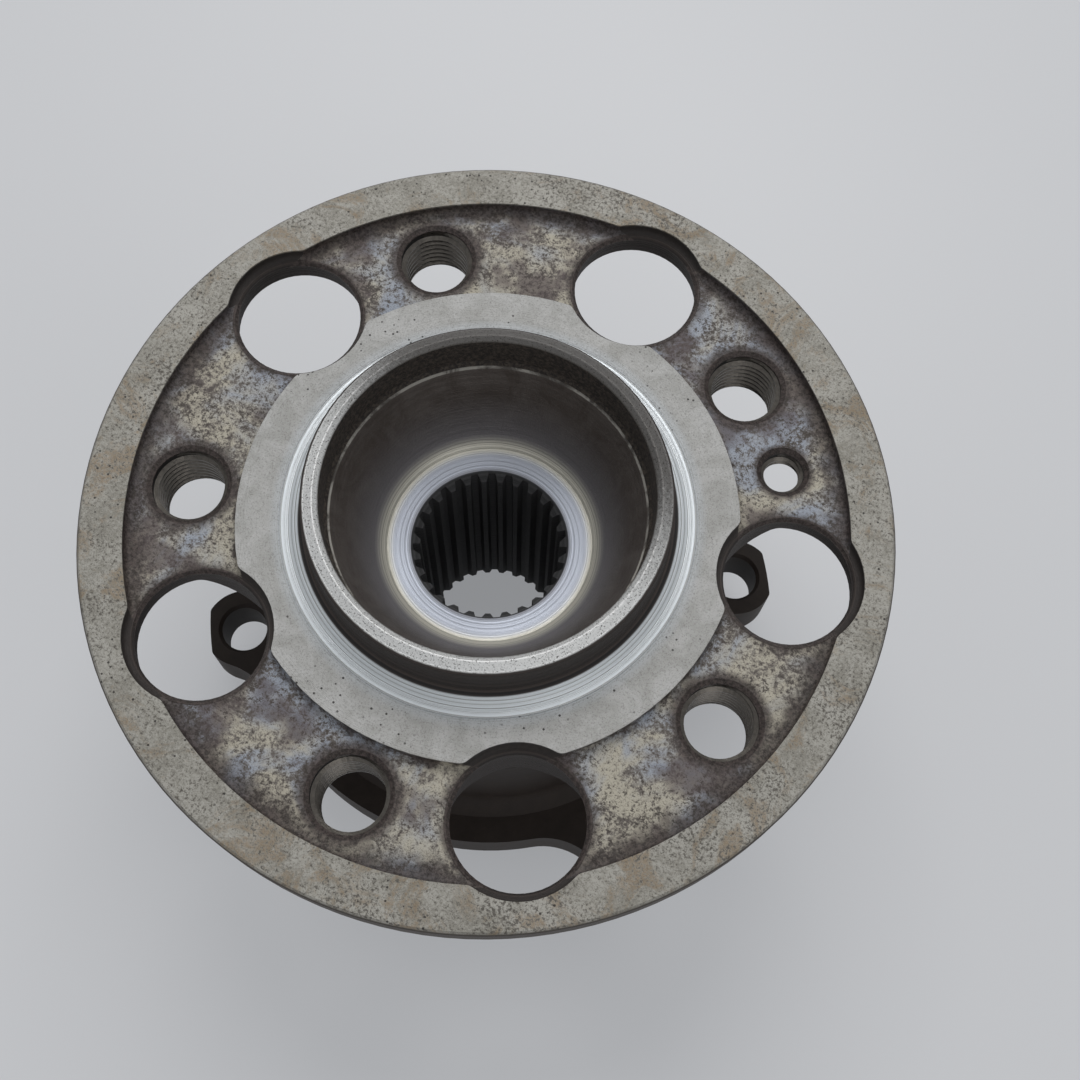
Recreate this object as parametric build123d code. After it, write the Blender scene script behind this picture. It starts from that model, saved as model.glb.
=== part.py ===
from build123d import *
from math import cos, radians, sin
import os

# Wheel hub bearing unit, standing on its inboard end with the wheel side up.
# Millimetres, +Z along the spin axis towards the wheel, floor at Z = 0.

# Heights of the bearing, stacked up from the end face of the spindle
collar_height = 4.2
inboard_row_rise = 14.8
row_spacing = 21.5
inner_ring_rise = 10.5
inner_ring_end_gap = 0.02
outer_ring_drop = 1.2
inboard_pocket_depth = 7.0
outboard_pocket_rise = 7.5
outboard_pocket_depth = 7.0
labyrinth_gap = 2.5
hub_core_height = 16.5
pilot_height = 11.0

# Wheel flange
flange_r = 74.75
flange_web = 7.5
recess_depth = 2.4
recess_outer_r = 66.5
recess_inner_r = 46.2
recess_corner_round = 1.2
recess_relief_round = 2.0
rim_edge_chamfer = 0.6
rim_back_chamfer = 1.2
hub_core_r = 45.5
hub_core_cone_r = 54.0
hub_core_edge_round = 1.5
hub_core_corner_round = 3.0

# Wheel bolt holes, access holes and the disc screw hole
bolt_circle_r = 56.0
bolt_count = 5
wheel_bolt_phase = 56.9
wheel_bolt_r = 7.0
wheel_bolt_chamfer = 0.87
boss_wall = 5.0
boss_draft = 1.4
boss_chamfer = 1.2
access_phase = 87.4
access_top_r = 11.75
access_flare = 0.6
access_edge_chamfer = 0.7
access_relief = 1.75
screw_angle = 37.8
screw_r = 4.0
screw_chamfer = 0.95

# Pilot for the disc and the wheel
pilot_r = 33.25
pilot_relief = 0.35
pilot_relief_rise = 0.7
pilot_draft_rise = 3.2
pilot_edge_height = 0.6
pilot_bore_draft = 0.15
pilot_wall = 2.3
pilot_lip_slope = 1.0
pilot_lead = 0.55
pilot_lead_height = 0.9
pilot_root_step = 1.35
pilot_root_rise = 1.4
pilot_cone_inner_width = 1.9
pilot_cone_outer_width = 1.65
pilot_cone_rise = 0.45
bowl_ledge_width = 0.85
bowl_ledge_rise = 1.9
ledge_wall = 1.3
bowl_depth = 13.1
bowl_bottom_r = 21.9
bowl_corner_round = 6.0
nut_seat_depth = 15.3
nut_seat_step = 2.4
nut_seat_corner_round = 1.8

# Splined bore
spline_teeth = 27
spline_phase = 29.9
spline_tip_r = 13.6
spline_depth = 1.3
spline_tip_share = 0.30
spline_root_share = 0.36
bore_mouth_clearance = 0.34
bore_mouth_depth = 2.0

# Bearing rows
ball_r = 5.55625
ball_count = 15
pitch_r = 31.5
contact_angle = 35.0
race_conformity = 0.52
ball_running_gap = 0.12

# Spindle and inner ring
seal_land_drop = 1.5
inner_ring_land_drop = 2.0
low_shoulder_drop = 4.5
inner_ring_wall = 6.5
collar_lap = 5.3
collar_taper = 2.2
collar_edge_round = 1.2
collar_edge_height = 2.0
inner_ring_chamfer = 0.8
shoulder_corner_round = 0.6
seal_land_corner_round = 4.0

# Outer ring
outer_shoulder_lift = 2.7
outer_land_lift = 5.1
outboard_pocket_step = 2.4
inboard_pocket_step = 1.4
outer_wall = 4.0
outer_ring_lead = 1.2
seal_pocket_lead = 0.5
knuckle_pilot_step = 1.0
knuckle_pilot_length = 7.0
knuckle_pilot_lead = 1.5
knuckle_pilot_lead_height = 2.0
knuckle_flange_thickness = 11.5
knuckle_root = 3.5
knuckle_root_round = 3.0

# Knuckle flange outline and its bolt holes
knuckle_seat_width = 7.7
knuckle_flat_depth = 5.7
ear_spacing_x = 88.6
ear_spacing_y = 60.2
ear_r = 8.5
ear_edge = 7.2
ear_hole_r = 4.8
ear_hole_chamfer = 0.7
ear_short_side_blend = 5.0
ear_long_side_blend = 14.0
ear_waist_rise = 3.0
ear_tip_round = 1.6

# Cages
cage_inner_drop = 0.7
cage_outer_lift = 3.1
cage_back_wall = 1.74
cage_front_share = 0.52
cage_pocket_gap = 0.16

# Seals
seal_sheet = 0.8
seal_case_reach = 5.4
seal_case_seat_gap = 0.4
lip_running_gap = 0.06
lip_thickness = 0.65
slinger_sheet = 0.6
slinger_edge_gap = 1.6
encoder_thickness = 1.0
encoder_inner_width = 1.5
encoder_lap = 0.2
encoder_inset = 0.2

# Levels that follow from the stack
inner_ring_bottom_z = collar_height
inboard_row_z = inner_ring_bottom_z + inboard_row_rise
outboard_row_z = inboard_row_z + row_spacing
inner_ring_top_z = inboard_row_z + inner_ring_rise
outer_ring_bottom_z = inner_ring_bottom_z - outer_ring_drop
inboard_pocket_floor_z = outer_ring_bottom_z + inboard_pocket_depth
flange_bottom_z = outer_ring_bottom_z + knuckle_pilot_length
knuckle_flange_top_z = flange_bottom_z + knuckle_flange_thickness
seal_pocket_floor_z = outboard_row_z + outboard_pocket_rise
outer_ring_top_z = seal_pocket_floor_z + outboard_pocket_depth
hub_core_underside_z = outer_ring_top_z + labyrinth_gap
boss_underside_z = hub_core_underside_z
face_z = hub_core_underside_z + hub_core_height
flange_web_underside_z = face_z - flange_web
recess_z = face_z - recess_depth
pilot_top_z = face_z + pilot_height
pilot_lead_z = pilot_top_z - pilot_lead_height
pilot_root_z = face_z + pilot_root_rise
bowl_top_z = face_z + bowl_ledge_rise
pilot_bore_ledge_z = bowl_top_z + ledge_wall
bowl_bottom_z = face_z - bowl_depth
nut_seat_z = face_z - nut_seat_depth
slinger_bottom_z = outer_ring_bottom_z + encoder_thickness + encoder_inset
slinger_top_z = slinger_bottom_z + slinger_sheet

# Radii that follow
boss_top_r = wheel_bolt_r + boss_wall
boss_bottom_r = boss_top_r - boss_draft
access_bottom_r = access_top_r + access_flare
access_relief_r = access_top_r + access_relief
pilot_root_r = pilot_r + pilot_root_step
pilot_cone_step_r = pilot_root_r + pilot_cone_inner_width
pilot_cone_outer_r = pilot_cone_step_r + pilot_cone_outer_width
pilot_lead_r = pilot_r - pilot_lead
pilot_lip_r = pilot_r - pilot_wall
pilot_bore_top_r = pilot_lip_r - pilot_lip_slope
bowl_top_r = pilot_bore_top_r - bowl_ledge_width
spline_root_r = spline_tip_r + spline_depth
bore_mouth_r = spline_root_r + bore_mouth_clearance
seal_land_r = pitch_r - seal_land_drop
inner_ring_land_r = pitch_r - inner_ring_land_drop
low_shoulder_r = pitch_r - low_shoulder_drop
spindle_seat_r = low_shoulder_r - inner_ring_wall
collar_r = spindle_seat_r + collar_lap
collar_end_r = collar_r - collar_taper
outer_shoulder_r = pitch_r + outer_shoulder_lift
outer_land_r = pitch_r + outer_land_lift
seal_pocket_r = outer_land_r + outboard_pocket_step
inboard_pocket_r = outer_land_r + inboard_pocket_step
outer_body_r = seal_pocket_r + outer_wall
knuckle_pilot_r = outer_body_r + knuckle_pilot_step
knuckle_disc_r = knuckle_pilot_r + knuckle_seat_width
knuckle_flat = knuckle_disc_r - knuckle_flat_depth
ear_reach_r = Vector(ear_spacing_x / 2, ear_spacing_y / 2).length + ear_edge
cage_inner_r = pitch_r - cage_inner_drop
cage_outer_r = pitch_r + cage_outer_lift
cage_back = ball_r + cage_back_wall
cage_front = ball_r * cage_front_share
seal_case_inner_r = seal_pocket_r - seal_case_reach
slinger_flange_r = inboard_pocket_r - slinger_edge_gap
encoder_inner_r = inner_ring_land_r + encoder_inner_width
encoder_outer_r = slinger_flange_r + encoder_lap
race_r = race_conformity * 2 * ball_r
race_shift = race_r - ball_r - ball_running_gap


def turned(points):
    """Revolve a closed outline of (radius, height) or (radius, height, corner round) points."""
    corners = [Vector(p[0], p[1]) for p in points]
    outline = make_face(Polyline(*corners, close=True))
    for corner, point in zip(corners, points):
        if len(point) == 3:
            spot = outline.vertices().sort_by_distance(corner)[0]
            outline = fillet(spot, point[2])
    return revolve(Plane.XZ * outline, Axis.Z)


def polar(radius, angle, z=0.0):
    return Vector(radius * cos(radians(angle)), radius * sin(radians(angle)), z)


def around(count, phase):
    return [phase + 360 / count * i for i in range(count)]


def upright(radius, bottom_z, top_z, centre):
    height = top_z - bottom_z
    return Pos(centre.X, centre.Y, bottom_z + height / 2) * Cylinder(radius, height)


def tapered(bottom_r, top_r, bottom_z, top_z, centre):
    height = top_z - bottom_z
    return Pos(centre.X, centre.Y, bottom_z + height / 2) * Cone(bottom_r, top_r, height)


def race_cutter(row_z, side):
    """Groove whose surface clears the ball by the running gap at the contact angle."""
    lean = radians(contact_angle)
    centre_r = pitch_r + race_shift * cos(lean)
    centre_z = row_z - side * race_shift * sin(lean)
    return Pos(0, 0, centre_z) * Torus(centre_r, race_r)


def outer_race_cutter(row_z, side):
    lean = radians(contact_angle)
    centre_r = pitch_r - race_shift * cos(lean)
    centre_z = row_z + side * race_shift * sin(lean)
    return Pos(0, 0, centre_z) * Torus(centre_r, race_r)


def spline_cutter():
    """Star-shaped prism that leaves the internal teeth standing."""
    pitch = 360 / spline_teeth
    tip_half = pitch * spline_tip_share / 2
    root_half = pitch * spline_root_share / 2
    edges = []
    for centre in around(spline_teeth, spline_phase):
        space = centre + pitch / 2
        tip_start = polar(spline_tip_r, centre - tip_half)
        tip_end = polar(spline_tip_r, centre + tip_half)
        root_start = polar(spline_root_r, space - root_half)
        root_end = polar(spline_root_r, space + root_half)
        next_tip = polar(spline_tip_r, centre + pitch - tip_half)
        edges.append(ThreePointArc(tip_start, polar(spline_tip_r, centre), tip_end))
        edges.append(Line(tip_end, root_start))
        edges.append(ThreePointArc(root_start, polar(spline_root_r, space), root_end))
        edges.append(Line(root_end, next_tip))
    star = make_face(Wire(edges))
    return Pos(0, 0, -1) * extrude(star, nut_seat_z + 2)


def hub_blank():
    web_z = flange_web_underside_z
    return turned([
        (spline_tip_r - 1, 0),
        (collar_end_r, 0, collar_edge_round),
        (collar_r, collar_edge_height, collar_edge_round),
        (collar_r, inner_ring_bottom_z),
        (spindle_seat_r, inner_ring_bottom_z),
        (spindle_seat_r, inner_ring_top_z),
        (low_shoulder_r, inner_ring_top_z, shoulder_corner_round),
        (low_shoulder_r, outboard_row_z),
        (seal_land_r, outboard_row_z),
        (seal_land_r, hub_core_underside_z, seal_land_corner_round),
        (hub_core_r, hub_core_underside_z, hub_core_edge_round),
        (hub_core_cone_r, web_z, hub_core_corner_round),
        (flange_r - rim_back_chamfer, web_z),
        (flange_r, web_z + rim_back_chamfer),
        (flange_r, face_z - rim_edge_chamfer),
        (flange_r - rim_edge_chamfer, face_z),
        (pilot_cone_outer_r, face_z),
        (pilot_cone_step_r, face_z + pilot_cone_rise),
        (pilot_root_r, pilot_root_z),
        (pilot_r + pilot_relief, pilot_root_z + pilot_relief_rise),
        (pilot_r, pilot_root_z + pilot_draft_rise),
        (pilot_r, pilot_lead_z - pilot_edge_height),
        (pilot_lead_r, pilot_lead_z, pilot_edge_height / 2),
        (pilot_lip_r, pilot_top_z, pilot_edge_height / 2),
        (pilot_bore_top_r, pilot_top_z - pilot_lead_height),
        (pilot_bore_top_r - pilot_bore_draft, pilot_bore_ledge_z),
        (bowl_top_r, bowl_top_z + pilot_bore_draft),
        (bowl_top_r - pilot_bore_draft, bowl_top_z),
        (bowl_bottom_r, bowl_bottom_z, bowl_corner_round),
        (bowl_bottom_r - nut_seat_step, nut_seat_z, nut_seat_corner_round),
        (spline_tip_r - 1, nut_seat_z),
    ])


def recess_cutter():
    """Ring-shaped recess of the face, opened out round each access hole with rounded corners."""
    ring = Circle(recess_outer_r) - Circle(recess_inner_r)
    for angle in around(bolt_count, access_phase):
        centre = polar(bolt_circle_r, angle)
        ring += Pos(centre.X, centre.Y) * Circle(access_relief_r)
    ring = fillet(ring.vertices(), recess_relief_round)
    pocket = Pos(0, 0, recess_z) * extrude(ring, recess_depth + 1)
    return fillet(pocket.edges().group_by(Axis.Z)[0], recess_corner_round)


def hub():
    body = hub_blank() - recess_cutter()
    for angle in around(bolt_count, wheel_bolt_phase):
        centre = polar(bolt_circle_r, angle)
        boss = tapered(boss_bottom_r, boss_top_r, boss_underside_z, recess_z - 1, centre)
        boss = chamfer(boss.edges().sort_by(Axis.Z)[0], boss_chamfer)
        body += boss
    for angle in around(bolt_count, access_phase):
        centre = polar(bolt_circle_r, angle)
        low_z = hub_core_underside_z - 1
        chamfer_z = recess_z - access_edge_chamfer
        body -= tapered(access_bottom_r, access_top_r, flange_web_underside_z, recess_z, centre)
        body -= upright(access_bottom_r, low_z, flange_web_underside_z, centre)
        body -= tapered(access_top_r, access_top_r + access_edge_chamfer, chamfer_z, recess_z, centre)
    for angle in around(bolt_count, wheel_bolt_phase):
        centre = polar(bolt_circle_r, angle)
        body -= upright(wheel_bolt_r, boss_underside_z - 1, face_z, centre)
        wide_r = wheel_bolt_r + wheel_bolt_chamfer
        body -= tapered(wheel_bolt_r, wide_r, recess_z - wheel_bolt_chamfer * 0.7, recess_z, centre)
        body -= tapered(wide_r, wheel_bolt_r, boss_underside_z, boss_underside_z + wheel_bolt_chamfer, centre)
    centre = polar(bolt_circle_r, screw_angle)
    body -= upright(screw_r, flange_web_underside_z - 1, face_z, centre)
    body -= tapered(screw_r, screw_r + screw_chamfer, recess_z - screw_chamfer, recess_z, centre)
    body -= race_cutter(outboard_row_z, 1)
    body -= spline_cutter()
    mouth_z = nut_seat_z - bore_mouth_depth
    origin = Vector(0, 0, 0)
    body -= tapered(spline_tip_r, bore_mouth_r, mouth_z, nut_seat_z, origin)
    body -= tapered(bore_mouth_r, spline_tip_r, 0, bore_mouth_depth, origin)
    return body


def inner_ring():
    body = turned([
        (spindle_seat_r, inner_ring_bottom_z),
        (inner_ring_land_r - inner_ring_chamfer, inner_ring_bottom_z),
        (inner_ring_land_r, inner_ring_bottom_z + inner_ring_chamfer),
        (inner_ring_land_r, inboard_row_z),
        (low_shoulder_r, inboard_row_z),
        (low_shoulder_r, inner_ring_top_z - inner_ring_end_gap, shoulder_corner_round),
        (spindle_seat_r, inner_ring_top_z - inner_ring_end_gap),
    ])
    return body - race_cutter(inboard_row_z, -1)


def ear_holes():
    return [Vector(x * ear_spacing_x / 2, y * ear_spacing_y / 2) for x in (-1, 1) for y in (-1, 1)]


def knuckle_flange():
    """Disc cut flat at its two short sides, with a turned-off ear on each corner of a rectangle."""
    plate = Circle(knuckle_disc_r) & Rectangle(2 * knuckle_flat, 2 * knuckle_disc_r)
    for hole in ear_holes():
        plate += Pos(hole.X, hole.Y) * Circle(ear_r)
    plate &= Circle(ear_reach_r)
    for blend, on_long_side in ((ear_short_side_blend, False), (ear_long_side_blend, True)):
        waists = plate.vertices().filter_by(lambda v: Vector(v.X, v.Y).length < knuckle_disc_r + ear_waist_rise)
        waists = waists.filter_by(lambda v: (abs(v.Y) > ear_spacing_y / 2) == on_long_side)
        plate = fillet(waists, blend)
    tips = plate.vertices().filter_by(lambda v: Vector(v.X, v.Y).length > ear_reach_r - 0.1)
    plate = fillet(tips, ear_tip_round)
    for hole in ear_holes():
        plate -= Pos(hole.X, hole.Y) * Circle(ear_hole_r)
    return Pos(0, 0, flange_bottom_z) * extrude(plate, knuckle_flange_thickness)


def outer_ring():
    barrel = turned([
        (outer_shoulder_r, inboard_row_z),
        (outer_land_r, inboard_row_z),
        (outer_land_r, inboard_pocket_floor_z),
        (inboard_pocket_r, inboard_pocket_floor_z),
        (inboard_pocket_r, outer_ring_bottom_z + seal_pocket_lead),
        (inboard_pocket_r + seal_pocket_lead, outer_ring_bottom_z),
        (knuckle_pilot_r - knuckle_pilot_lead, outer_ring_bottom_z),
        (knuckle_pilot_r, outer_ring_bottom_z + knuckle_pilot_lead_height),
        (knuckle_pilot_r, flange_bottom_z + 1),
        (outer_body_r + knuckle_root, knuckle_flange_top_z - 1),
        (outer_body_r + knuckle_root, knuckle_flange_top_z, 0.1),
        (outer_body_r, knuckle_flange_top_z + knuckle_root, knuckle_root_round),
        (outer_body_r, outer_ring_top_z - outer_ring_lead),
        (outer_body_r - outer_ring_lead, outer_ring_top_z),
        (seal_pocket_r + seal_pocket_lead, outer_ring_top_z),
        (seal_pocket_r, outer_ring_top_z - seal_pocket_lead),
        (seal_pocket_r, seal_pocket_floor_z),
        (outer_land_r, seal_pocket_floor_z),
        (outer_land_r, outboard_row_z),
        (outer_shoulder_r, outboard_row_z),
    ])
    flange = knuckle_flange()
    flange -= upright(knuckle_pilot_r - 2, 0, outer_ring_top_z, Vector(0, 0, 0))
    body = barrel + flange
    for centre in ear_holes():
        wide_r = ear_hole_r + ear_hole_chamfer
        top_z = knuckle_flange_top_z
        body -= tapered(ear_hole_r, wide_r, top_z - ear_hole_chamfer, top_z, centre)
        body -= tapered(wide_r, ear_hole_r, flange_bottom_z, flange_bottom_z + ear_hole_chamfer, centre)
    body -= outer_race_cutter(outboard_row_z, 1)
    body -= outer_race_cutter(inboard_row_z, -1)
    return body


def ball(row_z, angle):
    spot = polar(pitch_r, angle, row_z)
    return Pos(spot.X, spot.Y, spot.Z) * Sphere(ball_r)


def cage(row_z, side):
    """Snap cage: a ring behind the balls with a finger between each pair."""
    back_z = row_z + side * cage_back
    front_z = row_z - side * cage_front
    low_z = min(back_z, front_z)
    high_z = max(back_z, front_z)
    body = turned([
        (cage_inner_r, low_z, 0.4),
        (cage_outer_r, low_z, 0.4),
        (cage_outer_r, high_z, 0.4),
        (cage_inner_r, high_z, 0.4),
    ])
    for angle in around(ball_count, 0):
        spot = polar(pitch_r, angle, row_z)
        body -= Pos(spot.X, spot.Y, spot.Z) * Sphere(ball_r + cage_pocket_gap)
    return body


def seal_outboard_case():
    low_z = seal_pocket_floor_z + seal_case_seat_gap
    high_z = outer_ring_top_z - 3 * seal_sheet
    return turned([
        (seal_case_inner_r, low_z),
        (seal_pocket_r, low_z, 0.5),
        (seal_pocket_r, high_z),
        (seal_pocket_r - seal_sheet, high_z),
        (seal_pocket_r - seal_sheet, low_z + seal_sheet),
        (seal_case_inner_r, low_z + seal_sheet),
    ])


def radial_lips(land_r, base_z, side):
    """The two lips of a seal that run on a cylinder, listed from the open side inwards."""
    neck_r = seal_case_inner_r - 2 * lip_thickness
    return [
        (neck_r + 0.9, base_z + side * 1.6),
        (land_r, base_z + side * 2.4),
        (land_r, base_z + side * 1.8),
        (neck_r + 0.1, base_z + side * 0.3),
        (land_r, base_z - side * 0.4),
        (land_r, base_z - side * 1.0),
        (neck_r + 0.3, base_z - side * seal_sheet),
    ]


def seal_outboard_lips():
    """Rubber bonded to the case, with two axial lips on the flange and two on the spindle."""
    base_z = seal_pocket_floor_z + seal_case_seat_gap + seal_sheet
    wall_r = seal_pocket_r - seal_sheet
    root_z = base_z + 1.6
    tip_z = hub_core_underside_z - lip_running_gap
    lean = 0.45 * (tip_z - root_z)
    points = [
        (seal_case_inner_r, base_z - seal_sheet),
        (seal_case_inner_r, base_z),
        (wall_r, base_z),
        (wall_r, root_z),
    ]
    for root_r in (wall_r - 1.0, wall_r - 2.9):
        points.append((root_r, root_z))
        points.append((root_r + lean, tip_z))
        points.append((root_r + lean - lip_thickness, tip_z))
        points.append((root_r - 1.4 * lip_thickness, root_z))
    return turned(points + radial_lips(seal_land_r + lip_running_gap, base_z, 1))


def seal_inboard_case():
    high_z = inboard_pocket_floor_z - seal_case_seat_gap
    low_z = outer_ring_bottom_z + 1.5 * seal_sheet
    return turned([
        (seal_case_inner_r, high_z),
        (inboard_pocket_r, high_z, 0.5),
        (inboard_pocket_r, low_z),
        (inboard_pocket_r - seal_sheet, low_z),
        (inboard_pocket_r - seal_sheet, high_z - seal_sheet),
        (seal_case_inner_r, high_z - seal_sheet),
    ])


def seal_inboard_lips():
    """Rubber bonded to the case, with one axial lip on the slinger and two on its sleeve."""
    base_z = inboard_pocket_floor_z - seal_case_seat_gap - seal_sheet
    wall_r = inboard_pocket_r - seal_sheet
    root_z = base_z - 1.1
    lip_r = slinger_flange_r - 1.0
    tip_z = slinger_top_z + lip_running_gap
    sleeve_r = inner_ring_land_r + slinger_sheet + lip_running_gap
    points = [
        (seal_case_inner_r, base_z + seal_sheet),
        (seal_case_inner_r, base_z),
        (wall_r, base_z),
        (wall_r, root_z),
        (lip_r, root_z),
        (lip_r + 0.6, tip_z),
        (lip_r + 0.6 - lip_thickness, tip_z),
        (lip_r - 1.4 * lip_thickness, root_z),
    ]
    return turned(points + radial_lips(sleeve_r, base_z, -1))


def slinger():
    sleeve_r = inner_ring_land_r + slinger_sheet
    return turned([
        (inner_ring_land_r, slinger_bottom_z, 0.4),
        (slinger_flange_r, slinger_bottom_z),
        (slinger_flange_r, slinger_top_z),
        (sleeve_r, slinger_top_z),
        (sleeve_r, inboard_pocket_floor_z - 0.9),
        (inner_ring_land_r, inboard_pocket_floor_z - 0.9),
    ])


def encoder_ring():
    low_z = slinger_bottom_z - encoder_thickness
    return turned([
        (encoder_inner_r, low_z),
        (encoder_outer_r, low_z, 0.3),
        (encoder_outer_r, slinger_top_z),
        (slinger_flange_r, slinger_top_z),
        (slinger_flange_r, slinger_bottom_z),
        (encoder_inner_r, slinger_bottom_z),
    ])


def build_all():
    nodes = {
        "hub": hub(),
        "inner_ring": inner_ring(),
        "outer_ring": outer_ring(),
        "cage_outboard": cage(outboard_row_z, 1),
        "cage_inboard": cage(inboard_row_z, -1),
        "seal_outboard_case": seal_outboard_case(),
        "seal_outboard_lips": seal_outboard_lips(),
        "seal_inboard_case": seal_inboard_case(),
        "seal_inboard_lips": seal_inboard_lips(),
        "slinger": slinger(),
        "encoder_ring": encoder_ring(),
    }
    for row, row_z in (("outboard", outboard_row_z), ("inboard", inboard_row_z)):
        for number, angle in enumerate(around(ball_count, 0), start=1):
            nodes[f"ball_{row}_{number:02d}"] = ball(row_z, angle)
    return nodes


os.makedirs("parts", exist_ok=True)
for name, shape in build_all().items():
    export_step(shape, f"parts/{name}.step")
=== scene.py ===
import math

import bmesh
import bpy
from mathutils import Matrix, Vector


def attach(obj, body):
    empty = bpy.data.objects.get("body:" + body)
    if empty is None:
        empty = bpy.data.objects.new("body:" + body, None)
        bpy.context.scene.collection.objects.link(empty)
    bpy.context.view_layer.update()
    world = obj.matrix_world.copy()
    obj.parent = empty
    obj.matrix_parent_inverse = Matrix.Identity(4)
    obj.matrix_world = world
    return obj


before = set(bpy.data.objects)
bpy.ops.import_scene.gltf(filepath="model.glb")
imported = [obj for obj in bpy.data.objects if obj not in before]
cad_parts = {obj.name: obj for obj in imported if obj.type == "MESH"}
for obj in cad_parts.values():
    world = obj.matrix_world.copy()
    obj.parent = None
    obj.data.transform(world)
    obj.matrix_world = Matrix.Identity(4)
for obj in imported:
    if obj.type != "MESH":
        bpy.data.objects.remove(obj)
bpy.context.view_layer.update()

# Sizes in millimetres, as in the part's source, turned to metres where meshes are made
mm = 0.001

face_z = 74.0
recess_z = 71.6
flange_r = 74.75
recess_outer_r = 66.5
recess_inner_r = 46.2
hole_circle_r = 56.0
hole_count = 5
hole_step = 360 / hole_count
access_phase = 87.4
access_r = 11.75
bolt_phase = 56.9
bolt_r = 7.0
bolt_bottom_z = 57.5
screw_angle = 37.8
screw_r = 4.0
web_underside_z = 66.5
pilot_cone_r = 38.15
pilot_root_r = 34.6
pilot_root_z = 75.4
pilot_r = 33.25
pilot_top_z = 85.0
pilot_lead_z = 84.1
pilot_bore_r = 30.9
ledge_z = 76.0
bowl_top_r = 29.1
bore_mouth_r = 15.24
nut_seat_z = 58.7
bright_seat_r = 21.2
bright_seat_z = 64.0

# Threads, as shares of their pitch where they say share or half
bolt_pitch = 1.5
bolt_thread_runout = 0.9
bolt_thread_lead = 0.6
screw_pitch = 1.25
screw_thread_runout = 0.1
screw_thread_lead = 0.8
thread_depth_share = 0.54
thread_root_half = 0.43
thread_crest_half = 0.12
thread_root_sink = 0.03
thread_steps = 40
thread_fade_steps = 14
thread_least_fade = 0.02

# Floor and world: how much they light, and how bright the camera and the metal see them
floor_half = 3.0
floor_glow = 0.45
world_light = 0.42
world_seen = 0.54

# Regions of the hub, each painted over those before it
paint_order = ("rim", "outer_land", "recess", "inner_land", "cone_band", "pilot_wall", "pilot_edge",
               "pilot_bore", "bowl", "ledge", "seat", "spline", "access_wall", "bolt_wall", "screw_wall")

# Camera fitted to the circles of the photo
camera_place = Vector((0.048084, -0.082639, 0.318120))
camera_aim = Vector((0.010624, -0.000059, 0.074))
camera_roll = math.radians(3.36)
camera_lens = 47.7


def make_camera():
    data = bpy.data.cameras.new("camera")
    data.lens = camera_lens
    data.sensor_width = 36
    data.clip_start = 0.01
    camera = bpy.data.objects.new("camera", data)
    bpy.context.scene.collection.objects.link(camera)
    look = (camera_aim - camera_place).to_track_quat("-Z", "Y").to_matrix()
    turn = look @ Matrix.Rotation(camera_roll, 3, "Z")
    camera.matrix_world = Matrix.Translation(camera_place) @ turn.to_4x4()
    bpy.context.scene.camera = camera


def make_softbox(name, place, aim, size, power):
    data = bpy.data.lights.new(name, "AREA")
    data.shape = "DISK"
    data.size = size
    data.energy = power
    lamp = bpy.data.objects.new(name, data)
    bpy.context.scene.collection.objects.link(lamp)
    lamp.location = place
    lamp.rotation_euler = (Vector(aim) - Vector(place)).to_track_quat("-Z", "Y").to_euler()


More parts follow.
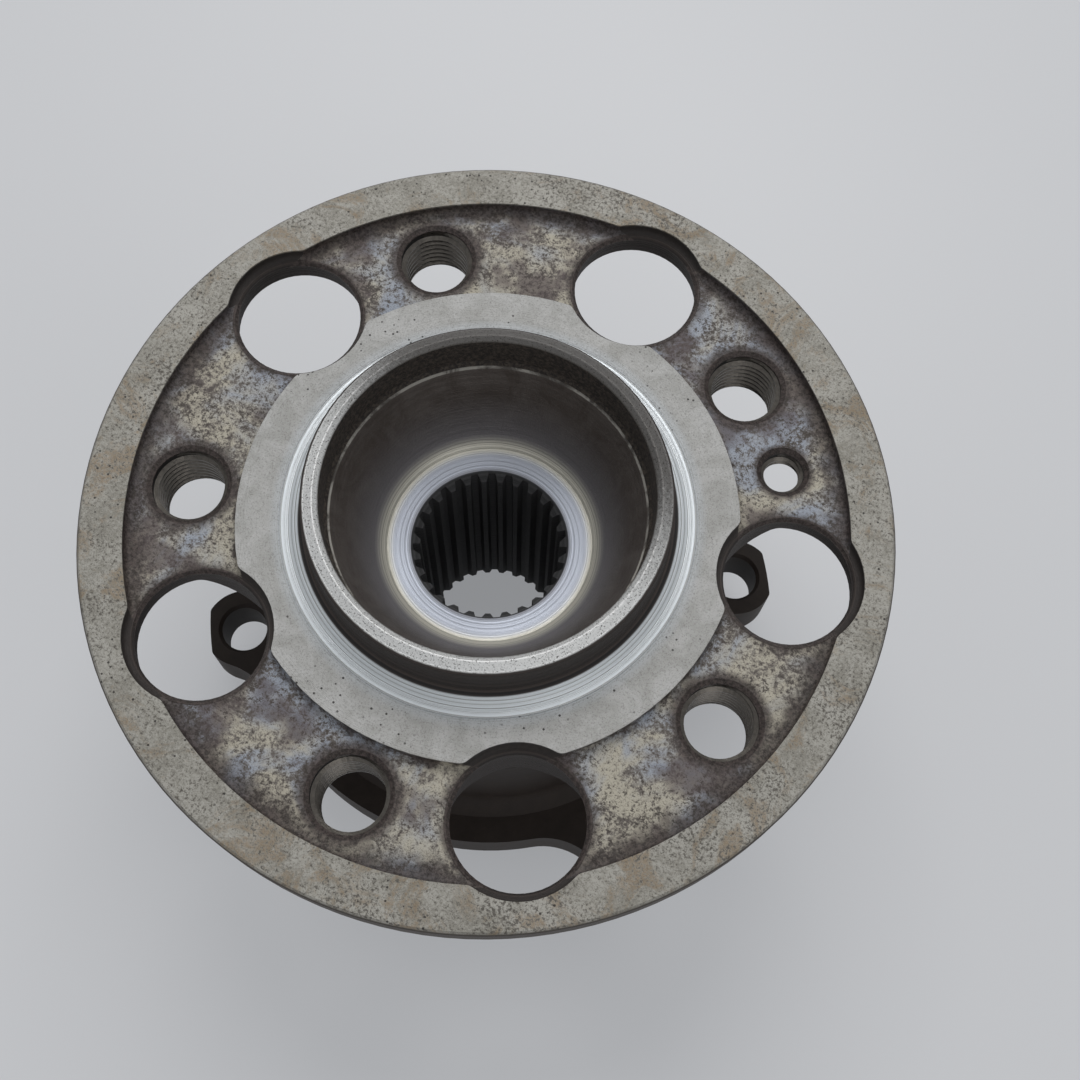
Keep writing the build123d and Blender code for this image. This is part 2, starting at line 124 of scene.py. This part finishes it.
class Shading:
    """One procedural material, with short calls for the nodes it is made of."""

    def __init__(self, name):
        self.material = bpy.data.materials.new(name)
        self.material.use_nodes = True
        self.tree = self.material.node_tree
        self.shader = self.tree.nodes["Principled BSDF"]

    def node(self, kind, inputs=(), **settings):
        made = self.tree.nodes.new(kind)
        for key, value in settings.items():
            setattr(made, key, value)
        for key, value in dict(inputs).items():
            self.plug(value, made.inputs[key])
        return made

    def plug(self, value, socket):
        if isinstance(value, bpy.types.NodeSocket):
            self.tree.links.new(value, socket)
        else:
            socket.default_value = value

    def set(self, **sockets):
        for key, value in sockets.items():
            self.plug(value, self.shader.inputs[key.replace("_", " ")])

    def math(self, operation, a, b=0.0, c=0.0):
        inputs = {0: a, 1: b, 2: c}
        return self.node("ShaderNodeMath", inputs, operation=operation).outputs[0]

    def times(self, *values):
        total = values[0]
        for value in values[1:]:
            total = self.math("MULTIPLY", total, value)
        return total

    def plus(self, a, b):
        return self.math("ADD", a, b)

    def most(self, *values):
        total = values[0]
        for value in values[1:]:
            total = self.math("MAXIMUM", total, value)
        return total

    def over(self, value, edge, soft):
        """0 below the edge and 1 above it, turning smoothly over twice soft."""
        inputs = {"Value": value, "From Min": edge - soft, "From Max": edge + soft}
        made = self.node("ShaderNodeMapRange", inputs, interpolation_type="SMOOTHSTEP")
        return made.outputs["Result"]

    def under(self, value, edge, soft):
        return self.math("SUBTRACT", 1.0, self.over(value, edge, soft))

    def between(self, value, low, high, soft):
        return self.times(self.over(value, low, soft), self.under(value, high, soft))

    def mix(self, factor, a, b):
        made = self.node("ShaderNodeMix", data_type="RGBA")
        self.plug(factor, made.inputs["Factor"])
        self.plug(a, made.inputs[6])
        self.plug(b, made.inputs[7])
        return made.outputs[2]

    def two_tone(self, value, edge, soft, low, high):
        """Low colour where the value is under the edge and high colour where it is over."""
        return self.mix(self.over(value, edge, soft), (*low, 1), (*high, 1))

    def blend(self, factor, a, b):
        """The same as mix for plain numbers."""
        made = self.node("ShaderNodeMix", data_type="FLOAT")
        self.plug(factor, made.inputs["Factor"])
        self.plug(a, made.inputs[2])
        self.plug(b, made.inputs[3])
        return made.outputs[0]

    def noise(self, at, scale, detail=3.0, roughness=0.6, distortion=0.0):
        inputs = {"Vector": at, "Scale": scale, "Detail": detail, "Roughness": roughness,
                  "Distortion": distortion}
        return self.node("ShaderNodeTexNoise", inputs).outputs["Fac"]

    def lines(self, along, scale, detail=2.0, roughness=0.7):
        """Noise along one coordinate only, for turning marks."""
        inputs = {"W": along, "Scale": scale, "Detail": detail, "Roughness": roughness}
        return self.node("ShaderNodeTexNoise", inputs, noise_dimensions="1D").outputs["Fac"]

    def spots(self, at, scale, size, soft=0.02):
        """Small round specks where the distance to a cell point is under size."""
        cells = self.node("ShaderNodeTexVoronoi", {"Vector": at, "Scale": scale})
        return self.under(cells.outputs["Distance"], size, soft)

    def bump(self, height, strength, distance, normal=None):
        inputs = {"Height": height, "Strength": strength, "Distance": distance}
        if normal is not None:
            inputs["Normal"] = normal
        return self.node("ShaderNodeBump", inputs).outputs["Normal"]


class HubPlace:
    """Where a point of the hub is: radius, height, and distance to the nearest hole of each kind."""

    def __init__(self, s):
        self.s = s
        coords = s.node("ShaderNodeTexCoord")
        scaled = s.node("ShaderNodeVectorMath", {0: coords.outputs["Object"], 1: (1 / mm, 1 / mm, 1 / mm)},
                        operation="MULTIPLY")
        self.at = scaled.outputs["Vector"]
        split = s.node("ShaderNodeSeparateXYZ", {0: self.at})
        self.x, self.y, self.z = split.outputs
        self.r = s.math("SQRT", s.plus(s.times(self.x, self.x), s.times(self.y, self.y)))
        self.angle = s.math("MULTIPLY", s.math("ARCTAN2", self.y, self.x), 180 / math.pi)
        self.access = self.to_hole(access_phase, hole_step)
        self.bolt = self.to_hole(bolt_phase, hole_step)
        self.screw = self.to_hole(screw_angle, 360)

    def to_hole(self, phase, step):
        """Distance from the nearest hole axis of a pattern on the bolt circle."""
        s = self.s
        fold = s.math("PINGPONG", s.math("SUBTRACT", self.angle, phase), step / 2)
        reach = s.math("COSINE", s.math("RADIANS", fold))
        square = s.plus(s.times(self.r, self.r), hole_circle_r ** 2)
        square = s.math("SUBTRACT", square, s.times(self.r, 2 * hole_circle_r, reach))
        return s.math("SQRT", square)


class Grain:
    """Noise shared by the regions of the hub: over the surface, across the radius and along the height."""

    def __init__(self, s, place):
        at = place.at
        self.cloud = s.noise(at, 0.060, 4.0, 0.6, 0.6)
        self.patch = s.noise(at, 0.16, 5.0, 0.70, 0.8)
        self.grit = s.noise(at, 1.5, 4.0, 0.75)
        self.fine = s.noise(at, 3.6, 3.0, 0.7)
        self.swing = s.math("SUBTRACT", self.grit, 0.5)
        self.rings = s.lines(place.r, 3.2, 3.0, 0.8)
        self.wide_rings = s.lines(place.r, 0.9, 4.0, 0.8)
        self.strokes = s.lines(place.z, 2.4, 4.0, 0.8)


def face_zones(place):
    """One mask from 0 to 1 for each face of the flange."""
    s, r, z = place.s, place.r, place.z
    raised = s.over(z, face_z - 0.35, 0.12)
    return {
        "rim": s.times(s.over(r, flange_r - 0.45, 0.1), s.under(z, face_z - 0.3, 0.1)),
        "outer_land": s.times(raised, s.over(r, recess_outer_r - 0.1, 0.2)),
        "inner_land": s.times(raised, s.between(r, pilot_cone_r, recess_inner_r + 0.3, 0.2)),
        "recess": s.times(s.between(z, recess_z - 0.9, face_z - 0.4, 0.15),
                          s.between(r, recess_inner_r - 0.1, recess_outer_r + 0.1, 0.05)),
    }


def pilot_zones(place):
    """One mask for each face of the pilot, the bowl inside it and the splined bore."""
    s, r, z = place.s, place.r, place.z
    return {
        "cone_band": s.times(s.between(r, pilot_root_r, pilot_cone_r, 0.1), s.over(z, face_z - 0.1, 0.05)),
        "pilot_wall": s.times(s.between(z, pilot_root_z, pilot_lead_z, 0.25),
                              s.between(r, pilot_r - 0.7, pilot_root_r + 0.05, 0.05)),
        "pilot_edge": s.times(s.over(z, pilot_lead_z - 0.1, 0.15), s.under(r, pilot_r + 0.5, 0.1)),
        "pilot_bore": s.times(s.between(z, ledge_z, pilot_top_z - 0.8, 0.2),
                              s.under(r, pilot_bore_r - 0.5, 0.1)),
        "bowl": s.times(s.between(z, nut_seat_z - 1, ledge_z - 0.2, 0.2),
                        s.between(r, bore_mouth_r, bowl_top_r, 0.05)),
        "ledge": s.times(s.between(z, ledge_z - 0.25, ledge_z + 0.25, 0.08),
                         s.between(r, bowl_top_r - 0.3, bowl_top_r + 0.25, 0.05)),
        "seat": s.times(s.between(r, bore_mouth_r, bright_seat_r, 0.9), s.over(z, nut_seat_z - 0.3, 0.1),
                        s.under(z, bright_seat_z, 0.5)),
        "spline": s.times(s.under(r, bore_mouth_r, 0.05), s.under(z, nut_seat_z - 0.1, 0.1)),
    }


def hole_zones(place):
    """One mask for the wall of each kind of hole."""
    s, z = place.s, place.z
    return {
        "access_wall": s.times(s.under(place.access, access_r + 1.0, 0.1), s.under(z, face_z - 0.5, 0.3)),
        "bolt_wall": s.times(s.under(place.bolt, bolt_r + 0.95, 0.06), s.over(z, bolt_bottom_z - 0.5, 0.1)),
        "screw_wall": s.times(s.under(place.screw, screw_r + 1.0, 0.06),
                              s.over(z, web_underside_z - 0.5, 0.1)),
    }


def recess_tone(s, place, grain):
    """Straw, grey and blued scale over dark forging skin, broken up by grit."""
    pale = s.two_tone(grain.cloud, 0.50, 0.10, (0.46, 0.425, 0.345), (0.335, 0.365, 0.42))
    mottle = s.over(s.plus(grain.patch, s.times(grain.swing, 1.1)), 0.470, 0.13)
    scaled = s.mix(mottle, (0.125, 0.108, 0.096, 1), pale)
    purple = s.times(s.over(s.noise(place.at, 0.07, 3.0, 0.6), 0.57, 0.06), 0.75)
    return s.mix(purple, scaled, (0.085, 0.062, 0.064, 1))


def flange_tones(s, place, grain):
    land_grain = s.plus(s.times(grain.patch, 0.5), s.times(grain.grit, 0.5))
    return {
        "rim": s.two_tone(grain.strokes, 0.5, 0.2, (0.030, 0.024, 0.020), (0.120, 0.105, 0.092)),
        "outer_land": s.two_tone(land_grain, 0.5, 0.10, (0.260, 0.247, 0.212), (0.405, 0.390, 0.350)),
        "recess": recess_tone(s, place, grain),
        "inner_land": s.two_tone(grain.patch, 0.5, 0.16, (0.395, 0.390, 0.370), (0.500, 0.495, 0.480)),
    }


def seat_sheen_tone(s, place, grain):
    """Turned steel with a painted sheen, bluish inside and a cream painted highlight outside, with fine
    turning rings.
    """
    bluish_sheen = s.two_tone(grain.rings, 0.46, 0.08, (0.330, 0.350, 0.400), (0.520, 0.550, 0.620))
    cream_highlight = s.two_tone(grain.rings, 0.46, 0.08, (0.400, 0.385, 0.330), (0.680, 0.655, 0.570))
    return s.mix(s.over(place.r, 19.0, 0.8), bluish_sheen, cream_highlight)


def bowl_tone(s, place, grain):
    """Smoked wall that clears towards the nut seat."""
    smoked = s.two_tone(grain.patch, 0.5, 0.2, (0.084, 0.068, 0.058), (0.135, 0.116, 0.104))
    return s.mix(s.under(place.r, 24.0, 3.0), smoked, (0.215, 0.205, 0.213, 1))


def pilot_tones(s, place, grain):
    return {
        "cone_band": s.two_tone(grain.rings, 0.44, 0.07, (0.300, 0.300, 0.290), (0.700, 0.735, 0.755)),
        "pilot_wall": dark_wall_tone(s, grain),
        # Pilot edge: bright painted highlight with dark nicks, darkened on its far side further down
        "pilot_edge": s.two_tone(grain.fine, 0.40, 0.04, (0.050, 0.044, 0.038), (0.740, 0.740, 0.725)),
        "pilot_bore": s.two_tone(grain.grit, 0.52, 0.12, (0.016, 0.012, 0.010), (0.075, 0.060, 0.047)),
        "bowl": bowl_tone(s, place, grain),
        # Painted highlight: a thin bright line at the ledge stands in for the highlight on its edge
        "ledge": s.two_tone(grain.patch, 0.5, 0.1, (0.090, 0.080, 0.070), (0.400, 0.380, 0.340)),
        "seat": seat_sheen_tone(s, place, grain),
        "spline": s.two_tone(grain.strokes, 0.5, 0.2, (0.020, 0.020, 0.021), (0.090, 0.090, 0.092)),
    }


def dark_wall_tone(s, grain):
    return s.two_tone(grain.strokes, 0.5, 0.15, (0.008, 0.006, 0.0055), (0.055, 0.042, 0.036))


def hole_tones(s, grain):
    greasy = s.mix(grain.grit, (0.006, 0.006, 0.006, 1), (0.028, 0.026, 0.024, 1))
    return {"access_wall": dark_wall_tone(s, grain), "bolt_wall": greasy, "screw_wall": greasy}


def band_wear_and_edge_shade(s, place, grain, zones, colour):
    """The turned band fades into the inner land, and the far side of the pilot edge is painted dark as
    shade, so its bright tone stays as a painted highlight on the near side.
    """
    fade = s.times(zones["inner_land"], s.under(place.r, 39.3, 1.4), s.over(grain.rings, 0.40, 0.10))
    colour = s.mix(s.times(fade, 0.8), colour, (0.560, 0.590, 0.610, 1))
    # Painted shade: darken the far side of the pilot edge, leaving a painted highlight on the near side
    far_side = s.over(s.plus(place.y, s.times(grain.swing, 22)), 6, 14)
    edge_shade = s.times(zones["pilot_edge"], far_side)
    return s.mix(s.times(edge_shade, 0.85), colour, (0.040, 0.032, 0.026, 1))


def recess_wall_darkening(s, place, grain, zones, colour):
    """Darker in the corners of the recess and round its holes."""
    ragged = s.times(s.math("SUBTRACT", s.noise(place.at, 0.22, 5.0, 0.7), 0.5), 9.0)
    rough_r = s.plus(place.r, ragged)
    corner = s.most(s.over(rough_r, recess_outer_r - 3.0, 2.2), s.under(rough_r, recess_inner_r + 0.3, 0.7))
    round_bolt = s.under(s.plus(place.bolt, s.times(ragged, 0.35)), bolt_r + 2.2, 1.0)
    round_screw = s.under(s.plus(place.screw, s.times(ragged, 0.25)), screw_r + 1.6, 0.8)
    round_access = s.under(s.plus(place.access, s.times(ragged, 0.5)), access_r + 1.6, 1.2)
    # Darker tone laid along the recess walls and round the holes, with ragged edges
    wall_darkening = s.times(zones["recess"], s.most(corner, round_bolt, round_screw, round_access))
    darkened_tone = s.two_tone(grain.grit, 0.5, 0.12, (0.016, 0.011, 0.010), (0.085, 0.064, 0.058))
    return s.mix(s.times(wall_darkening, 0.90), colour, darkened_tone)


def stains_and_specks(s, place, grain, zones, colour):
    """Ochre stains on the outer land, then pits, grains and single dark specks."""
    at = place.at
    lands = s.most(zones["outer_land"], zones["inner_land"])
    open_faces = s.most(zones["outer_land"], zones["recess"])
    stain = s.over(s.noise(at, 0.085, 5.0, 0.7, 1.2), 0.555, 0.06)
    rust = s.times(zones["outer_land"], stain, s.over(grain.grit, 0.47, 0.10))
    colour = s.mix(s.times(rust, 0.60), colour, (0.215, 0.135, 0.055, 1))
    dense = s.plus(s.times(s.noise(at, 0.10, 3.0), 0.35), 0.24)
    pits = s.times(open_faces, s.under(s.math("SUBTRACT", grain.grit, dense), 0.0, 0.035))
    colour = s.mix(s.times(pits, 0.70), colour, (0.040, 0.031, 0.024, 1))
    grains = s.times(s.most(open_faces, s.times(zones["inner_land"], 0.7)), s.under(grain.fine, 0.43, 0.04))
    colour = s.mix(s.times(grains, 0.50), colour, (0.090, 0.078, 0.066, 1))
    specks = s.times(lands, s.spots(at, 0.6, 0.13), s.over(grain.cloud, 0.50, 0.04))
    return s.mix(s.times(specks, 0.9), colour, (0.02, 0.016, 0.014, 1))


def steel_shine(s, zones):
    """How bare the metal is, from 0 for skin and grease to 1 for a fresh turned face."""
    return s.most(s.times(zones["inner_land"], 0.55), zones["cone_band"], s.times(zones["seat"], 0.95),
                  s.times(zones["bowl"], 0.6), s.times(zones["pilot_edge"], 0.8),
                  s.times(zones["outer_land"], 0.40), s.times(zones["recess"], 0.35))


def steel_relief(s, grain, zones):
    """Turning rings, strokes down the walls and pitting, as one normal."""
    turned = s.most(zones["cone_band"], zones["seat"], zones["bowl"], zones["inner_land"])
    normal = s.bump(s.times(turned, s.plus(grain.wide_rings, grain.rings)), 0.4, 0.0003)
    walls = s.most(zones["access_wall"], zones["pilot_wall"])
    normal = s.bump(s.times(walls, grain.strokes), 0.5, 0.0004, normal)
    smooth = s.most(zones["seat"], zones["cone_band"])
    return s.bump(s.times(s.math("SUBTRACT", 1.0, smooth), grain.grit), 0.45, 0.0004, normal)


def hub_material():
    s = Shading("hub_steel")
    place = HubPlace(s)
    grain = Grain(s, place)
    zones = face_zones(place) | pilot_zones(place) | hole_zones(place)
    tones = flange_tones(s, place, grain) | pilot_tones(s, place, grain) | hole_tones(s, grain)
    colour = s.mix(grain.grit, (0.010, 0.008, 0.007, 1), (0.050, 0.040, 0.035, 1))
    for zone in paint_order:
        colour = s.mix(zones[zone], colour, tones[zone])
    for layer in (band_wear_and_edge_shade, recess_wall_darkening, stains_and_specks):
        colour = layer(s, place, grain, zones, colour)
    shiny = steel_shine(s, zones)
    rough = s.plus(s.blend(shiny, 0.62, 0.36), s.times(grain.fine, 0.15))
    s.set(Base_Color=colour, Metallic=s.times(shiny, 0.8), Roughness=rough)
    s.set(Normal=steel_relief(s, grain, zones))
    return s.material


def plain_material(name, low, high, scale, metallic, roughness, depth=0.0002, gloss=0.5):
    """Two tones of one finish mixed by noise, for the pieces that hardly show."""
    s = Shading(name)
    coords = s.node("ShaderNodeTexCoord").outputs["Object"]
    grain = s.noise(coords, scale, 5.0, 0.7)
    s.set(Base_Color=s.mix(grain, (*low, 1), (*high, 1)), Metallic=metallic, Specular_IOR_Level=gloss)
    s.set(Roughness=s.blend(grain, roughness - 0.08, roughness + 0.08))
    s.set(Normal=s.bump(grain, 0.4, depth))
    return s.material


def dress(node, material):
    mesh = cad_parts[node].data
    mesh.materials.clear()
    mesh.materials.append(material)


def thread_row(mesh, centre, turn, middle_z, major_r, pitch, fade):
    """Four corners of the ridge at one step of its helix, root, crest, crest and root."""
    depth = thread_depth_share * pitch * fade
    row = []
    for inward, half in (
        (-thread_root_sink, thread_root_half),
        (depth, thread_crest_half),
        (depth, -thread_crest_half),
        (-thread_root_sink, -thread_root_half),
    ):
        radius = major_r - inward
        x = centre[0] + radius * math.cos(turn)
        y = centre[1] + radius * math.sin(turn)
        row.append(mesh.verts.new((x * mm, y * mm, (middle_z + half * pitch) * mm)))
    return row


def thread_ridge(name, centre, bottom_z, top_z, major_r, pitch, material):
    """Helical ridge of an internal thread, closed all round and faded out at both ends."""
    turns = (top_z - bottom_z) / pitch - 1
    count = int(turns * thread_steps)
    mesh = bmesh.new()
    rows = []
    for i in range(count + 1):
        fade = min(1.0, i / thread_fade_steps, (count - i) / thread_fade_steps)
        fade = max(fade, thread_least_fade)
        turn = 2 * math.pi * i / thread_steps
        middle_z = bottom_z + pitch * (0.5 + i / thread_steps)
        rows.append(thread_row(mesh, centre, turn, middle_z, major_r, pitch, fade))
    for first, second in zip(rows, rows[1:]):
        for k in range(4):
            n = (k + 1) % 4
            mesh.faces.new((first[k], first[n], second[n], second[k]))
    mesh.faces.new(rows[0][::-1])
    mesh.faces.new(rows[-1])
    bmesh.ops.recalc_face_normals(mesh, faces=mesh.faces)
    data = bpy.data.meshes.new(name)
    mesh.to_mesh(data)
    mesh.free()
    data.materials.append(material)
    piece = bpy.data.objects.new(name, data)
    bpy.context.scene.collection.objects.link(piece)
    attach(piece, "rotor")


def polar(radius, angle):
    return (radius * math.cos(math.radians(angle)), radius * math.sin(math.radians(angle)))


def make_threads():
    steel = plain_material("thread_steel", (0.030, 0.027, 0.024), (0.210, 0.190, 0.165), 900, 0.8, 0.30)
    for k in range(hole_count):
        centre = polar(hole_circle_r, bolt_phase + hole_step * k)
        low_z = bolt_bottom_z + bolt_thread_runout
        high_z = recess_z - bolt_thread_lead
        thread_ridge(f"bolt_thread_{k + 1}", centre, low_z, high_z, bolt_r, bolt_pitch, steel)
    centre = polar(hole_circle_r, screw_angle)
    low_z = web_underside_z + screw_thread_runout
    high_z = recess_z - screw_thread_lead
    thread_ridge("screw_thread", centre, low_z, high_z, screw_r, screw_pitch, steel)


def floor_material():
    """Pale matt floor that the camera and the metal see a little brighter than it lights."""
    s = Shading("floor_pale")
    s.set(Base_Color=(0.70, 0.70, 0.71, 1), Roughness=0.35)
    glow = s.node("ShaderNodeEmission", {"Color": (0.56, 0.575, 0.60, 1), "Strength": 1.0})
    rays = s.node("ShaderNodeLightPath").outputs
    seen = s.most(rays["Is Camera Ray"], rays["Is Glossy Ray"], rays["Is Transmission Ray"])
    blend = s.node("ShaderNodeMixShader", {0: s.times(seen, floor_glow)})
    s.tree.links.new(s.shader.outputs["BSDF"], blend.inputs[1])
    s.tree.links.new(glow.outputs["Emission"], blend.inputs[2])
    s.tree.links.new(blend.outputs["Shader"], s.tree.nodes["Material Output"].inputs["Surface"])
    return s.material


def make_floor():
    corners = [(x, y, 0) for x, y in ((-1, -1), (1, -1), (1, 1), (-1, 1))]
    mesh = bpy.data.meshes.new("floor")
    mesh.from_pydata([Vector(corner) * floor_half for corner in corners], [], [(0, 1, 2, 3)])
    mesh.materials.append(floor_material())
    floor = bpy.data.objects.new("floor", mesh)
    bpy.context.scene.collection.objects.link(floor)


def make_world():
    world = bpy.data.worlds.new("studio")
    world.use_nodes = True
    nodes = world.node_tree.nodes
    background = nodes["Background"]
    background.inputs["Color"].default_value = (0.90, 0.92, 0.95, 1)
    rays = nodes.new("ShaderNodeLightPath").outputs
    strength = nodes.new("ShaderNodeMapRange")
    strength.inputs["To Min"].default_value = world_seen
    strength.inputs["To Max"].default_value = world_light
    world.node_tree.links.new(rays["Is Diffuse Ray"], strength.inputs["Value"])
    world.node_tree.links.new(strength.outputs["Result"], background.inputs["Strength"])
    bpy.context.scene.world = world


def dress_bearing():
    """Materials of every piece but the hub."""
    forged = plain_material("ring_steel", (0.011, 0.008, 0.0065), (0.044, 0.033, 0.027), 260, 0.0, 0.6,
                            gloss=0.25)
    ground = plain_material("ground_steel", (0.40, 0.40, 0.41), (0.55, 0.55, 0.56), 500, 0.95, 0.25)
    sheet = plain_material("pressed_steel", (0.22, 0.21, 0.20), (0.34, 0.33, 0.31), 300, 0.9, 0.4)
    lip = plain_material("seal_rubber", (0.012, 0.012, 0.013), (0.03, 0.03, 0.03), 700, 0.0, 0.6)
    magnet = plain_material("encoder_rubber", (0.03, 0.02, 0.018), (0.06, 0.045, 0.04), 600, 0.1, 0.5)
    polymer = plain_material("cage_polymer", (0.02, 0.02, 0.02), (0.045, 0.043, 0.04), 500, 0.0, 0.5)
    ball = plain_material("ball_steel", (0.60, 0.60, 0.62), (0.70, 0.70, 0.72), 300, 1.0, 0.12, 0.00002)
    dress("outer_ring", forged)
    dress("inner_ring", ground)
    for node in ("seal_outboard_case", "seal_inboard_case", "slinger"):
        dress(node, sheet)
    for node in ("seal_outboard_lips", "seal_inboard_lips"):
        dress(node, lip)
    dress("encoder_ring", magnet)
    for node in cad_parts:
        if node.startswith("cage_"):
            dress(node, polymer)
        if node.startswith("ball_"):
            dress(node, ball)


bpy.context.scene.view_settings.view_transform = "Standard"
make_camera()
make_world()
make_floor()
make_softbox("overhead", (-0.35, 0.75, 1.3), (0, 0, 0.05), 1.0, 10)
make_softbox("side", (0.9, -0.6, 1.0), (0, 0, 0.05), 0.8, 2)
dress("hub", hub_material())
dress_bearing()
make_threads()
